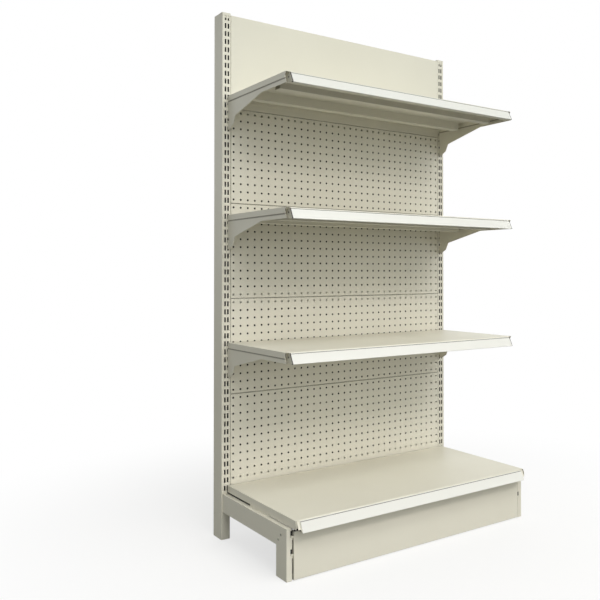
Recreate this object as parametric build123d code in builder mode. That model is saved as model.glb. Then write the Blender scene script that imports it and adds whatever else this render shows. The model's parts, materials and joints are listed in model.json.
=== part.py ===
from build123d import *
import os
from math import cos, floor, radians, sin, tan

os.makedirs("parts", exist_ok=True)

# ---------------------------------------------------------------------------
# Driving dimensions, millimetres. +X runs along the bay, to the shopper's right,
# -Y towards the shopper, +Z up. The origin is on the floor, at the middle of the
# whole unit's outline. "depth" and "y" values below are measured from the front
# face of the uprights, which the back panels share; negative is towards the front.
# ---------------------------------------------------------------------------
clearance = 0.3                 # between neighbouring pieces that lift apart
weld_gap = 0.0                  # welded or resting flat faces meet

# Bay and uprights
bay_pitch = 914.4               # centre to centre of the uprights
unit_height = 1676.4
upright_width = 30.0
upright_depth = 60.0
upright_wall = 1.5
upright_corner = 1.2            # flat across each long corner of the tube

# Slots that the shelf brackets hook into
slot_pitch = 25.4
slot_width = 5.6
slot_height = 15.9
slot_rows = 60
lowest_slot_z = 161.1           # centre of the lowest row
slot_column_offset = 6.35       # inner column from the upright's centre line, towards the bay
slot_column_pitch = 9.8         # from the inner column to the outer one

# Caps in the tops of the uprights
cap_thickness = 2.0
cap_plug_depth = 14.0
cap_plug_wall = 2.0

# Back panels
panel_sheet = 0.9
panel_depth = 12.0              # flanges folded to the rear
panel_pitch = 304.8
panel_seam = 1.0
panel_side_gap = 0.5
lowest_seam_z = 152.4
peg_panel_count = 4
rear_panel_pitches = (2, 2, 1)  # heights of the plain rear panels, in panel pitches
header_top_drop = 5.4           # header's top edge below the top of the unit
peg_hole_diameter = 6.35
peg_pitch = 25.4
peg_columns = 35
peg_rows = 12

# Tabs on the panels' ends, in slots in the uprights' inner walls
tab_height = 12.0
tab_thickness = 1.2
tab_reach = 4.5
tab_y = 6.0
tab_from_edge = 60.0
tab_slot_headroom = 4.0
tab_slot_play = 0.6

# Rails behind the panels
rail_height = 40.0
rail_depth = 25.0
rail_wall = 1.5
rail_top_below_header = 3.0
ledge_thickness = 1.5
rail_hook_thickness = 3.0
rail_neck_height = 10.0
rail_tongue_drop = 8.0
rail_tongue_thickness = 2.0
rail_slot_play = 1.0
rail_slot_headroom = 10.0

# Base brackets: a beam out from each upright, and a foot under its front end
base_width = 17.0
base_outer_half = 467.5         # from the bay's centre to the brackets' outer face
base_wall = 1.8
beam_height = 57.0
beam_top_z = 144.0
foot_depth = 58.0
foot_front = 400.0              # from the upright's face to the foot's front
splice_overlap = 12.0
splice_reach = 50.0
splice_height = 47.0
rivet_shank = 5.0
rivet_hole_play = 0.2
rivet_head = 9.0
rivet_head_height = 1.6
rivet_y = (-371.0, -356.0)
rivet_z = (122.0, 105.0)
base_hook_pitch = 24.0
lug_length = 10.0
lug_thickness = 1.5
lug_height = 5.5
lug_y = -274.0

# Hooks on shelf and base brackets
hook_neck_height = 8.0
hook_tongue_drop = 6.0
hook_tongue_thickness = 2.5

# Shelf brackets
bracket_thickness = 2.4
bracket_hook_rows = (1, 2, 3)   # slot rows below the shelf's own row
bracket_tip_back = 8.0          # bracket's tip, behind the nose's upper corner
bracket_beak = (-5.0, 19.0)     # lower front corner, behind the nose's upper corner; start of its slope
bracket_lip = 31.5              # bracket's lower edge under the shelf's top
bracket_arm = 223.0             # where the lower edge starts to slope
bracket_knee = (50.0, 70.0)     # out from the upright, down from the shelf's top
bracket_heel = (37.0, 95.0)
bracket_toe = (14.0, 108.0)
bracket_notch_height = 14.0
bracket_notch_depth = 5.0

# Shelf pans
shelf_slot_rows = (55, 40, 24)  # slot row, counted from the floor, of shelves 1 to 3
shelf_above_slot = 11.65        # top of a shelf above the lower edge of its slot row
shelf_depth = 388.0             # to the front of the price strip
sheet = 1.0
shelf_rear_gap = 8.0
flange_height = 17.0
nose_angle = 27.0               # price rail's lean, from upright
nose_drop = 31.0
nose_return = 28.0
nose_lip = 7.0
bend_radius = 1.6
shelf_nose_half = 441.0
flange_back = 10.0              # flange's lower front corner, behind the nose's upper corner
end_plate_back = 22.0           # end plate's rear edge, behind the nose's upper corner
end_plate_slant = 16.0
end_plate_shoulder = 19.0       # below the shelf's top, where the slant ends
end_hole_diameter = 6.0
end_hole_drop = 14.5
end_hole_back = 6.0             # behind the nose's upper corner

# Stiffeners under shelves and deck
stiffener_width = 30.0
stiffener_flange = 9.0
stiffener_sheet = 1.0
stiffener_half_length = 429.0
shelf_stiffener_y = (-280.0, -117.0)
deck_stiffener_y = (-335.0, -130.0)

# Price strips
strip_half_length = 439.0
strip_thickness = 1.4
strip_play = 0.3
strip_top_inset = 3.0
strip_hook = 6.0

# Base deck
deck_top_z = 170.5
deck_depth = 440.0
deck_rear_gap = 6.0
deck_flange_height = 21.0
deck_seat_rear = 158.0          # the part of the flange that stands on the beam
deck_seat_front = 270.0
deck_front_gap = 2.0            # between flange and beam ahead of the seat
deck_slit_width = 1.5
deck_slit_top = 5.0             # sheet left above the slit at the flange's front
deck_flange_ahead = 5.2         # flange's front edge, ahead of the nose's upper corner
deck_nose_half = 441.0
deck_tab_gap = 2.0              # between the nose's end and the tab that closes the corner
deck_tab_width = 7.0
deck_tab_drop = 23.0
deck_tab_back = 2.0             # tab's front, behind the nose's upper corner

# Kick plate
kick_face = 403.0
kick_half_length = 446.0
kick_bottom_z = 2.0
kick_top_z = 135.0
kick_return = 15.0
kick_hook_z = (69.0, 119.0)     # lower edges of the notches in the feet
kick_hook_height = 4.0
kick_tongue_drop = 8.0
kick_tongue_thickness = 1.5
kick_hook_reach = 8.5
kick_notch_height = 18.0
kick_notch_width = 5.0

# Levelling feet: rear ones stand in the uprights, front ones in the base feet
rear_pad_diameter = 24.0
rear_pad_height = 5.0
rear_stud_diameter = 10.0
rear_hex = 17.0
front_pad_diameter = 14.0
front_pad_height = 4.0
front_stud_diameter = 8.0
front_hex = 10.0
hex_height = 4.0
stud_top_z = 40.0
nut_plate_thickness = 3.0
nut_plate_z = 15.0
nut_plate_play = 0.2
stud_play = 0.2                 # radial, in the nut plate

# ---------------------------------------------------------------------------
# Worked-out places
# ---------------------------------------------------------------------------
face_y = (deck_depth - upright_depth) / 2
upright_x = bay_pitch / 2
upright_inner = upright_x - upright_width / 2
tube_top_z = unit_height - cap_thickness
panel_half = upright_inner - panel_side_gap
bracket_inner = upright_x - slot_column_offset - bracket_thickness / 2
pan_inner_half = bracket_inner + bracket_thickness + clearance
pan_half = pan_inner_half + sheet
base_inner = base_outer_half - base_width
base_middle = base_outer_half - base_width / 2
nose = radians(nose_angle)
strip_length = (nose_drop + strip_play + strip_thickness) / cos(nose)
strip_run = strip_length * sin(nose) + (strip_play + strip_thickness) * cos(nose)
header_top_z = unit_height - header_top_drop
lowest_row = floor(lowest_slot_z / slot_pitch)
shelf_tops = [
    lowest_slot_z + slot_pitch * (row - lowest_row) - slot_height / 2 + shelf_above_slot
    for row in shelf_slot_rows
]
hook_reach = upright_wall + clearance + hook_tongue_thickness


def side_plane(x):
    """Sketch plane seen from the right: local x is y from the uprights' face, local y is z."""
    return Plane(origin=(x, face_y, 0), x_dir=(0, 1, 0), z_dir=(1, 0, 0))


def front_plane(y):
    """Sketch plane seen from the front: local x is x, local y is z. Extrudes to the front."""
    return Plane(origin=(0, face_y + y, 0), x_dir=(1, 0, 0), z_dir=(0, -1, 0))


def level_plane(z):
    """Sketch plane seen from above: local x is x, local y is y from the uprights' face."""
    return Plane(origin=(0, face_y, z), x_dir=(1, 0, 0), z_dir=(0, 0, 1))


def slab(low_x, high_x, low, high):
    """Corners of an upright plate's outline, from its low and high (y, z)."""
    return [(low_x, low), (high_x, low), (high_x, high), (low_x, high)]


def outline(points, mode=Mode.ADD):
    """A closed face through the points, in the sketch that is being built."""
    Polygon(*points, align=None, mode=mode)


def save(piece, name):
    """Label a finished piece and write its STEP file."""
    piece.label = name
    export_step(piece, f"parts/{name}.step")
    print(f"{name}: {len(piece.solids())} solid(s), {piece.volume / 1000:.1f} cm3")


# ---------------------------------------------------------------------------
# Uprights: slotted tubes, with slots for rails, panel tabs and base hooks
# ---------------------------------------------------------------------------
base_slot_z = [beam_top_z - beam_height / 2 + step * base_hook_pitch / 2 for step in (-1, 1)]
rail_bottoms = {
    "bottom_rail": lowest_seam_z - ledge_thickness,
    "center_rail": lowest_seam_z + 2 * panel_pitch - rail_height / 2,
    "top_rail": header_top_z - rail_top_below_header - rail_height,
}
panel_bottoms = [lowest_seam_z + number * panel_pitch for number in range(peg_panel_count + 1)]
panel_tops = panel_bottoms[1:] + [header_top_z + panel_seam / 2]
rear_bottoms = [lowest_seam_z + sum(rear_panel_pitches[:count]) * panel_pitch
                for count in range(len(rear_panel_pitches))]
rear_tops = rear_bottoms[1:] + [header_top_z + panel_seam / 2]


def tab_places(bottoms, tops):
    """Heights of the tabs' middles: two on each end of each panel."""
    return [
        place
        for low, high in zip(bottoms, tops)
        for place in (low + tab_from_edge, high - tab_from_edge)
    ]


tab_points = [(tab_y, z) for z in tab_places(panel_bottoms, panel_tops)]
tab_points += [(upright_depth - tab_y, z) for z in tab_places(rear_bottoms, rear_tops)]
rail_hook_y = panel_depth + rail_depth / 2
rail_slot_height = rail_neck_height + rail_slot_headroom


def hook_low(rail_bottom):
    """Height of the lower edge of a rail hook's neck, which stands on its slot's edge."""
    return rail_bottom + rail_height / 2 - rail_neck_height / 2


def build_upright(side):
    """One slotted upright; side is -1 for the left one and 1 for the right one."""
    middle = side * upright_x
    slot_middle_z = lowest_slot_z + slot_pitch * (slot_rows - 1) / 2
    with BuildPart() as upright:
        with BuildSketch(level_plane(0)):
            with Locations((middle, upright_depth / 2)):
                outer = Rectangle(upright_width, upright_depth)
                chamfer(outer.vertices(), upright_corner)
                Rectangle(
                    upright_width - 2 * upright_wall,
                    upright_depth - 2 * upright_wall,
                    mode=Mode.SUBTRACT,
                )
        extrude(amount=tube_top_z)
        with BuildSketch(front_plane(0)):
            with Locations(*[(side * base_middle, z) for z in base_slot_z]):
                Rectangle(slot_width, slot_height)
        extrude(amount=-upright_wall, mode=Mode.SUBTRACT)
        with BuildSketch(side_plane(side * upright_inner)):
            with Locations(*[(y, z + tab_slot_headroom / 2) for y, z in tab_points]):
                Rectangle(tab_thickness + 2 * tab_slot_play, tab_height + tab_slot_headroom)
            with Locations(*[(rail_hook_y, hook_low(bottom) + rail_slot_height / 2)
                             for bottom in rail_bottoms.values()]):
                Rectangle(rail_hook_thickness + 2 * rail_slot_play, rail_slot_height)
        extrude(amount=side * upright_wall, mode=Mode.SUBTRACT)
        with BuildSketch(front_plane(0)):
            columns_middle = middle - side * (slot_column_offset - slot_column_pitch / 2)
            with Locations((columns_middle, slot_middle_z)):
                with GridLocations(slot_column_pitch, slot_pitch, 2, slot_rows):
                    Rectangle(slot_width, slot_height)
        extrude(amount=-upright_depth, mode=Mode.SUBTRACT)
    return upright.part


for side, word in ((-1, "left"), (1, "right")):
    save(build_upright(side), f"{word}_upright")

# Caps: a flat top and a hollow plug that fits inside the tube
for side, word in ((-1, "left"), (1, "right")):
    with BuildPart() as upright_cap:
        with BuildSketch(level_plane(tube_top_z)):
            with Locations((side * upright_x, upright_depth / 2)):
                cap_face = Rectangle(upright_width, upright_depth)
                chamfer(cap_face.vertices(), upright_corner)
        extrude(amount=cap_thickness)
        with BuildSketch(level_plane(tube_top_z)):
            with Locations((side * upright_x, upright_depth / 2)):
                plug_width = upright_width - 2 * (upright_wall + clearance)
                plug_depth = upright_depth - 2 * (upright_wall + clearance)
                Rectangle(plug_width, plug_depth)
                Rectangle(
                    plug_width - 2 * cap_plug_wall,
                    plug_depth - 2 * cap_plug_wall,
                    mode=Mode.SUBTRACT,
                )
        extrude(amount=-cap_plug_depth)
    save(upright_cap.part, f"{word}_upright_cap")


# ---------------------------------------------------------------------------
# Rails: tubes between the uprights, each with a hook at both ends
# ---------------------------------------------------------------------------
def build_rail(bottom, has_ledge):
    """One rail; the bottom rail also has the ledge that the lowest panel stands on."""
    with BuildPart() as rail:
        with BuildSketch(side_plane(-upright_inner)):
            with Locations((panel_depth + rail_depth / 2, bottom + rail_height / 2)):
                Rectangle(rail_depth, rail_height)
                Rectangle(rail_depth - 2 * rail_wall, rail_height - 2 * rail_wall, mode=Mode.SUBTRACT)
        extrude(amount=2 * upright_inner)
        if has_ledge:
            with BuildSketch(side_plane(-panel_half)):
                outline(slab(panel_sheet, panel_depth + rail_wall, bottom, bottom + ledge_thickness))
            extrude(amount=2 * panel_half)
        neck_low = hook_low(bottom)
        tongue_start = upright_inner + upright_wall + clearance
        hook_points = [
            (upright_inner - rail_wall, neck_low),
            (tongue_start, neck_low),
            (tongue_start, neck_low - rail_tongue_drop),
            (tongue_start + rail_tongue_thickness, neck_low - rail_tongue_drop),
            (tongue_start + rail_tongue_thickness, neck_low + rail_neck_height),
            (upright_inner - rail_wall, neck_low + rail_neck_height),
        ]
        for side in (-1, 1):
            with BuildSketch(front_plane(rail_hook_y + rail_hook_thickness / 2)):
                outline([(side * x, z) for x, z in hook_points])
            extrude(amount=rail_hook_thickness)
            with BuildSketch(side_plane(side * upright_inner)):
                with Locations((rail_hook_y, bottom + rail_height / 2)):
                    Rectangle(rail_depth, rail_height)
            extrude(amount=-side * rail_wall)
    return rail.part


for name, bottom in rail_bottoms.items():
    save(build_rail(bottom, name == "bottom_rail"), name)


# ---------------------------------------------------------------------------
# Back panels: trays folded inwards. Four perforated ones and a plain header face the
# shopper, and three plain ones close the rear
# ---------------------------------------------------------------------------
def build_panel(low, high, perforated):
    """One panel from its lower to its upper seam, with tabs that hook it to the uprights."""
    bottom = low + (panel_seam / 2 if low > lowest_seam_z else weld_gap)
    top = high - panel_seam / 2
    middle_z = (bottom + top) / 2
    height = top - bottom
    with BuildPart() as panel:
        with BuildSketch(front_plane(0)):
            with Locations((0, middle_z)):
                Rectangle(2 * panel_half, height)
                Rectangle(2 * (panel_half - panel_sheet), height - 2 * panel_sheet, mode=Mode.SUBTRACT)
        extrude(amount=-panel_depth)
        for tab_z in (low + tab_from_edge, high - tab_from_edge):
            with BuildSketch(front_plane(tab_y + tab_thickness / 2)):
                with Locations(*[(side * (panel_half + tab_reach / 2), tab_z) for side in (-1, 1)]):
                    Rectangle(tab_reach, tab_height)
            extrude(amount=tab_thickness)
        with BuildSketch(front_plane(0)):
            with Locations((0, middle_z)):
                Rectangle(2 * panel_half, height)
            if perforated:
                with Locations((0, (low + high) / 2)):
                    with GridLocations(peg_pitch, peg_pitch, peg_columns, peg_rows):
                        Circle(peg_hole_diameter / 2, mode=Mode.SUBTRACT)
        extrude(amount=-panel_sheet)
    return panel.part


for number, (low, high) in enumerate(zip(panel_bottoms, panel_tops), start=1):
    if number <= peg_panel_count:
        save(build_panel(low, high, True), f"peg_panel_{number}")
    else:
        save(build_panel(low, high, False), "header_panel")

middle_plane = Plane(origin=(0, face_y + upright_depth / 2, 0), z_dir=(0, 1, 0))
for number, (low, high) in enumerate(zip(rear_bottoms, rear_tops), start=1):
    save(mirror(build_panel(low, high, False), about=middle_plane), f"rear_panel_{number}")


# ---------------------------------------------------------------------------
# Base brackets
# ---------------------------------------------------------------------------
def hook_profile(neck_low):
    """Side outline of one hook: the neck goes through the upright's wall, the tongue hangs behind."""
    tongue_start = upright_wall + clearance
    return [
        (-clearance, neck_low),
        (tongue_start, neck_low),
        (tongue_start, neck_low - hook_tongue_drop),
        (hook_reach, neck_low - hook_tongue_drop),
        (hook_reach, neck_low + hook_neck_height),
        (-clearance, neck_low + hook_neck_height),
    ]


def base_span(from_outer, to_outer, side):
    """Signed x of a base layer that starts and ends this far inside the outer face."""
    return side * (base_outer_half - from_outer), side * (base_outer_half - to_outer)


beam_bottom_z = beam_top_z - beam_height
beam_front = foot_front - foot_depth
splice_middle_z = beam_bottom_z + beam_height / 2


def build_beam(side):
    """Base beam: a channel open towards the bay, hooked to the upright, with a tongue for the foot."""
    outer, inner = base_span(0, base_width, side)
    with BuildPart() as beam:
        with BuildSketch(front_plane(-clearance)):
            outline(slab(inner, outer, beam_bottom_z, beam_top_z))
            web = outer - side * base_wall
            outline(slab(inner, web, beam_bottom_z + base_wall, beam_top_z - base_wall), Mode.SUBTRACT)
        extrude(amount=beam_front - clearance)
        with BuildSketch(front_plane(-clearance)):
            outline(slab(inner, outer, beam_bottom_z, beam_top_z))
        extrude(amount=base_wall)
        with BuildSketch(side_plane(side * base_middle - side * bracket_thickness / 2)):
            for z in base_slot_z:
                outline(hook_profile(z - slot_height / 2))
        extrude(amount=side * bracket_thickness)
        with BuildSketch(side_plane(outer - side * base_wall)):
            splice_length = splice_overlap + splice_reach
            splice_middle_y = -beam_front + splice_overlap - splice_length / 2
            with Locations((splice_middle_y, splice_middle_z)):
                Rectangle(splice_length, splice_height)
            with Locations(*zip(rivet_y, rivet_z)):
                Circle(rivet_shank / 2 + rivet_hole_play, mode=Mode.SUBTRACT)
        extrude(amount=-side * base_wall)
        lug_x = side * (pan_half + clearance + lug_thickness / 2)
        with BuildSketch(level_plane(beam_top_z)):
            with Locations((lug_x, lug_y)):
                Rectangle(lug_thickness, lug_length)
        extrude(amount=lug_height)
    return beam.part


def build_foot(side):
    """Base foot: an upright channel open towards the bay, notched for the kick plate's hooks."""
    outer, inner = base_span(0, base_width, side)
    middle_y = -(foot_front - foot_depth / 2)
    with BuildPart() as foot:
        with BuildSketch(level_plane(0)):
            with Locations((side * base_middle, middle_y)):
                Rectangle(base_width, foot_depth)
            with Locations((side * (base_middle - base_wall / 2), middle_y)):
                Rectangle(base_width - base_wall, foot_depth - 2 * base_wall, mode=Mode.SUBTRACT)
        extrude(amount=beam_top_z)
        with BuildSketch(level_plane(beam_top_z - base_wall)):
            with Locations((side * base_middle, middle_y)):
                Rectangle(base_width, foot_depth)
        extrude(amount=base_wall)
        with BuildSketch(front_plane(-foot_front)):
            for z in kick_hook_z:
                outline(slab(inner, inner + side * kick_notch_width, z, z + kick_notch_height))
        extrude(amount=-base_wall, mode=Mode.SUBTRACT)
        with BuildSketch(front_plane(-beam_front)):
            with Locations((outer - side * base_wall * 3 / 2, splice_middle_z)):
                Rectangle(base_wall + 2 * clearance, splice_height + 2 * clearance)
        extrude(amount=base_wall, mode=Mode.SUBTRACT)
        with BuildSketch(side_plane(outer)):
            with Locations(*zip(rivet_y, rivet_z)):
                Circle(rivet_shank / 2 + rivet_hole_play)
        extrude(amount=-side * base_wall, mode=Mode.SUBTRACT)
    return foot.part


for side, word in ((-1, "left"), (1, "right")):
    save(build_beam(side), f"{word}_base_beam")
    save(build_foot(side), f"{word}_base_foot")

# Rivets that join each beam's tongue to its foot, with a low round head outside
with BuildPart() as base_rivets:
    for side in (-1, 1):
        outer = side * base_outer_half
        with BuildSketch(side_plane(outer)):
            with Locations(*zip(rivet_y, rivet_z)):
                Circle(rivet_head / 2)
        extrude(amount=side * rivet_head_height, taper=30)
        with BuildSketch(side_plane(outer)):
            with Locations(*zip(rivet_y, rivet_z)):
                Circle(rivet_shank / 2)
        extrude(amount=-side * 2 * base_wall)
        with BuildSketch(side_plane(outer - side * 2 * base_wall)):
            with Locations(*zip(rivet_y, rivet_z)):
                Circle(rivet_head / 2)
        extrude(amount=-side * rivet_head_height)
save(base_rivets.part, "base_rivets")

# ---------------------------------------------------------------------------
# Levelling feet and the plates that their studs are screwed into
# ---------------------------------------------------------------------------
rear_level_y = upright_depth / 2
front_level_y = -(foot_front - foot_depth / 2)
front_level_x = base_middle - base_wall / 2

for side, word in ((-1, "left"), (1, "right")):
    with BuildPart() as rear_nut_plate:
        with BuildSketch(level_plane(nut_plate_z)):
            with Locations((side * upright_x, rear_level_y)):
                Rectangle(
                    upright_width - 2 * (upright_wall + nut_plate_play),
                    upright_depth - 2 * (upright_wall + nut_plate_play),
                )
                Circle(rear_stud_diameter / 2 + stud_play, mode=Mode.SUBTRACT)
        extrude(amount=nut_plate_thickness)
    save(rear_nut_plate.part, f"{word}_rear_nut_plate")

    with BuildPart() as front_nut_plate:
        with BuildSketch(level_plane(nut_plate_z)):
            with Locations((side * front_level_x, front_level_y)):
                Rectangle(
                    base_width - base_wall - 2 * nut_plate_play,
                    foot_depth - 2 * (base_wall + nut_plate_play),
                )
                Circle(front_stud_diameter / 2 + stud_play, mode=Mode.SUBTRACT)
        extrude(amount=nut_plate_thickness)
    save(front_nut_plate.part, f"{word}_front_nut_plate")


def build_leveller(x, y, pad_diameter, pad_height, hex_size, stud_diameter):
    """One levelling foot: a pad on the floor, a hexagon for the spanner and a stud."""
    with BuildPart() as leveller:
        with BuildSketch(level_plane(0)):
            with Locations((x, y)):
                Circle(pad_diameter / 2)
        extrude(amount=pad_height)
        with BuildSketch(level_plane(pad_height)):
            with Locations((x, y)):
                RegularPolygon(hex_size / 2, 6, major_radius=False)
        extrude(amount=hex_height)
        with BuildSketch(level_plane(pad_height + hex_height)):
            with Locations((x, y)):
                Circle(stud_diameter / 2)
        extrude(amount=stud_top_z - pad_height - hex_height)
    return leveller.part


for side, word in ((-1, "left"), (1, "right")):
    rear_leveller = build_leveller(
        side * upright_x,
        rear_level_y,
        rear_pad_diameter,
        rear_pad_height,
        rear_hex,
        rear_stud_diameter,
    )
    save(rear_leveller, f"{word}_rear_leveller")
    front_leveller = build_leveller(
        side * front_level_x,
        front_level_y,
        front_pad_diameter,
        front_pad_height,
        front_hex,
        front_stud_diameter,
    )
    save(front_leveller, f"{word}_front_leveller")


# ---------------------------------------------------------------------------
# Pans, stiffeners and price strips, for the shelves and the base deck
# ---------------------------------------------------------------------------
def nose_corner(depth):
    """y of the corner where the top sheet turns down into the leaning price rail."""
    return -(depth - strip_run)


def nose_toe(depth):
    """y of the price rail's lower corner."""
    return nose_corner(depth) - nose_drop * tan(nose)


def pan_section(top, depth, rear_gap, rear_flange):
    """Sheet section, from the rear flange over the top and down the price rail to its lip."""
    toe = nose_toe(depth)
    with BuildLine() as section:
        FilletPolyline(
            (-rear_gap, top - rear_flange),
            (-rear_gap, top),
            (nose_corner(depth), top),
            (toe, top - nose_drop),
            (toe + nose_return, top - nose_drop),
            (toe + nose_return, top - nose_drop + nose_lip),
            radius=bend_radius,
        )
        offset(amount=sheet, side=Side.LEFT)
    make_face(section.edges())


def build_pan(top, depth, rear_gap, rear_flange, nose_half, flange, cut=None, end_plate=None):
    """A folded pan: its section, with a side flange at each end from its outline, less a cut.

    The rear flange stops short of the side flanges, to leave room for the shelf brackets.
    The nose stops short of them too, and an end plate, if there is one, closes its end.
    """
    nose_rear = nose_toe(depth) + nose_return + sheet
    rear_bend = bend_radius + sheet
    with BuildPart() as pan:
        with BuildSketch(side_plane(-pan_inner_half)):
            pan_section(top, depth, rear_gap, rear_flange)
        extrude(amount=2 * pan_inner_half)
        with BuildSketch(front_plane(-rear_gap - rear_bend)):
            for side in (-1, 1):
                relief_inner = bracket_inner - clearance
                outline(slab(side * relief_inner, side * pan_half, top - rear_flange, top - sheet))
        extrude(amount=-rear_bend, mode=Mode.SUBTRACT)
        with BuildSketch(front_plane(-depth)):
            for side in (-1, 1):
                outline(slab(side * nose_half, side * pan_half, top - nose_drop - sheet, top - sheet))
        extrude(amount=-(depth + nose_rear), mode=Mode.SUBTRACT)
        for side in (-1, 1):
            with BuildSketch(side_plane(side * pan_inner_half)):
                outline(flange)
                if cut:
                    outline(cut, Mode.SUBTRACT)
            extrude(amount=side * sheet)
            if end_plate:
                with BuildSketch(side_plane(side * nose_half)):
                    outline(end_plate)
                    with Locations((nose_corner(depth) + end_hole_back, top - end_hole_drop)):
                        Circle(end_hole_diameter / 2, mode=Mode.SUBTRACT)
                extrude(amount=-side * sheet)
    return pan.part


def build_stiffener(top, y):
    """Hat-section stiffener whose flanges are welded to the underside of the sheet."""
    underside = top - sheet
    bottom = top - nose_drop
    half = stiffener_width / 2
    with BuildPart() as stiffener:
        with BuildSketch(side_plane(-stiffener_half_length)):
            outline([
                (y - half - stiffener_flange, underside),
                (y - half, underside),
                (y + half, underside),
                (y + half + stiffener_flange, underside),
                (y + half + stiffener_flange, underside - stiffener_sheet),
                (y + half, underside - stiffener_sheet),
                (y + half, bottom),
                (y - half, bottom),
                (y - half, underside - stiffener_sheet),
                (y - half - stiffener_flange, underside - stiffener_sheet),
            ])
            inner = half - stiffener_sheet
            outline(slab(y - inner, y + inner, bottom + stiffener_sheet, underside), Mode.SUBTRACT)
        extrude(amount=2 * stiffener_half_length)
    return stiffener.part


def build_strip(top, depth):
    """Price strip: a plastic blade on the leaning rail, hooked under the rail's return."""
    corner = nose_corner(depth)
    blade_plane = Plane(
        origin=(-strip_half_length, face_y + corner, top),
        x_dir=(0, -sin(nose), -cos(nose)),
        z_dir=(1, 0, 0),
    )
    hook_front = corner - strip_length * sin(nose) - strip_play * cos(nose)
    hook_top = top - nose_drop - strip_play
    with BuildPart() as strip:
        with BuildSketch(blade_plane):
            outline(slab(strip_top_inset, strip_length, -strip_play - strip_thickness, -strip_play))
        extrude(amount=2 * strip_half_length)
        with BuildSketch(side_plane(-strip_half_length)):
            outline(slab(hook_front, hook_front + strip_hook, hook_top - strip_thickness, hook_top))
        extrude(amount=2 * strip_half_length)
    return strip.part


def shelf_flange(top):
    """Side outline of a shelf's flange, which slants up to the nose's upper corner."""
    corner = nose_corner(shelf_depth)
    return [
        (-shelf_rear_gap, top - flange_height),
        (corner + flange_back, top - flange_height),
        (corner, top),
        (-shelf_rear_gap, top),
    ]


def shelf_end_plate(top):
    """Side outline of the plate that closes the end of a shelf's nose."""
    corner = nose_corner(shelf_depth)
    plate_rear = corner + end_plate_back
    return [
        (plate_rear, top - end_plate_shoulder),
        (plate_rear, top - nose_drop),
        (nose_toe(shelf_depth), top - nose_drop),
        (corner, top),
        (plate_rear - end_plate_slant, top),
    ]


def deck_flange():
    """Side outline of the deck: its flange is deeper where it stands on the base beam."""
    corner = nose_corner(deck_depth)
    low = deck_top_z - deck_flange_height
    front_low = beam_top_z + deck_front_gap
    front = corner - deck_flange_ahead
    return [
        (-deck_rear_gap, low),
        (-deck_seat_rear, low),
        (-deck_seat_rear, beam_top_z),
        (-deck_seat_front, beam_top_z),
        (-deck_seat_front, front_low),
        (front, front_low),
        (front, deck_top_z - deck_flange_ahead / tan(nose)),
        (corner, deck_top_z),
        (-deck_rear_gap, deck_top_z),
    ]


def deck_slit():
    """The narrow slit that sets off the flange's front edge."""
    corner = nose_corner(deck_depth)
    return slab(corner, corner + deck_slit_width, beam_top_z, deck_top_z - deck_slit_top)


def build_bracket(top, side):
    """Shelf bracket: a flat plate under the pan's side, with hooks in the upright's inner slots."""
    seat = top - sheet
    corner = nose_corner(shelf_depth)
    beak_back, beak_drop = bracket_beak
    knee_y, knee_drop = bracket_knee
    heel_y, heel_drop = bracket_heel
    toe_y, toe_drop = bracket_toe
    slot_low = top - shelf_above_slot
    notch_low = slot_low - slot_pitch * 2 - hook_tongue_drop - bracket_notch_height
    with BuildPart() as bracket:
        with BuildSketch(side_plane(side * bracket_inner)):
            outline([
                (-clearance, seat),
                (corner + bracket_tip_back, seat),
                (corner + bracket_tip_back, top - beak_drop),
                (corner + beak_back, top - bracket_lip),
                (-bracket_arm, top - bracket_lip),
                (-knee_y, top - knee_drop),
                (-heel_y, top - heel_drop),
                (-toe_y, top - toe_drop),
                (-clearance, top - toe_drop),
            ])
            for row in bracket_hook_rows:
                outline(hook_profile(slot_low - slot_pitch * row))
            notch = slab(-bracket_notch_depth, 0, notch_low, notch_low + bracket_notch_height)
            outline(notch, Mode.SUBTRACT)
        extrude(amount=side * bracket_thickness)
    return bracket.part


for number, top in enumerate(shelf_tops, start=1):
    shelf_pan = build_pan(
        top,
        shelf_depth,
        shelf_rear_gap,
        flange_height,
        shelf_nose_half,
        shelf_flange(top),
        end_plate=shelf_end_plate(top),
    )
    save(shelf_pan, f"shelf_pan_{number}")
    for y, word in zip(shelf_stiffener_y, ("front", "rear")):
        save(build_stiffener(top, y), f"shelf_{word}_stiffener_{number}")
    save(build_strip(top, shelf_depth), f"shelf_price_strip_{number}")
    for side, word in ((-1, "left"), (1, "right")):
        save(build_bracket(top, side), f"{word}_shelf_bracket_{number}")

with BuildPart() as base_deck:
    add(build_pan(
        deck_top_z,
        deck_depth,
        deck_rear_gap,
        deck_flange_height,
        deck_nose_half,
        deck_flange(),
        cut=deck_slit(),
    ))
    tab_inner = deck_nose_half + deck_tab_gap
    with BuildSketch(front_plane(nose_corner(deck_depth) + deck_tab_back)):
        for side in (-1, 1):
            outline(slab(
                side * tab_inner,
                side * (tab_inner + deck_tab_width),
                deck_top_z - deck_tab_drop,
                deck_top_z - sheet / 2,
            ))
    extrude(amount=-sheet)
save(base_deck.part, "base_deck")
for y, word in zip(deck_stiffener_y, ("front", "rear")):
    save(build_stiffener(deck_top_z, y), f"deck_{word}_stiffener")
save(build_strip(deck_top_z, deck_depth), "deck_price_strip")

# ---------------------------------------------------------------------------
# Kick plate: a shallow tray with two hooks at each end, in the feet's notches
# ---------------------------------------------------------------------------
kick_middle_z = (kick_bottom_z + kick_top_z) / 2
kick_height = kick_top_z - kick_bottom_z
tongue_front = foot_front - base_wall - clearance
hook_end = kick_half_length + kick_hook_reach

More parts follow.
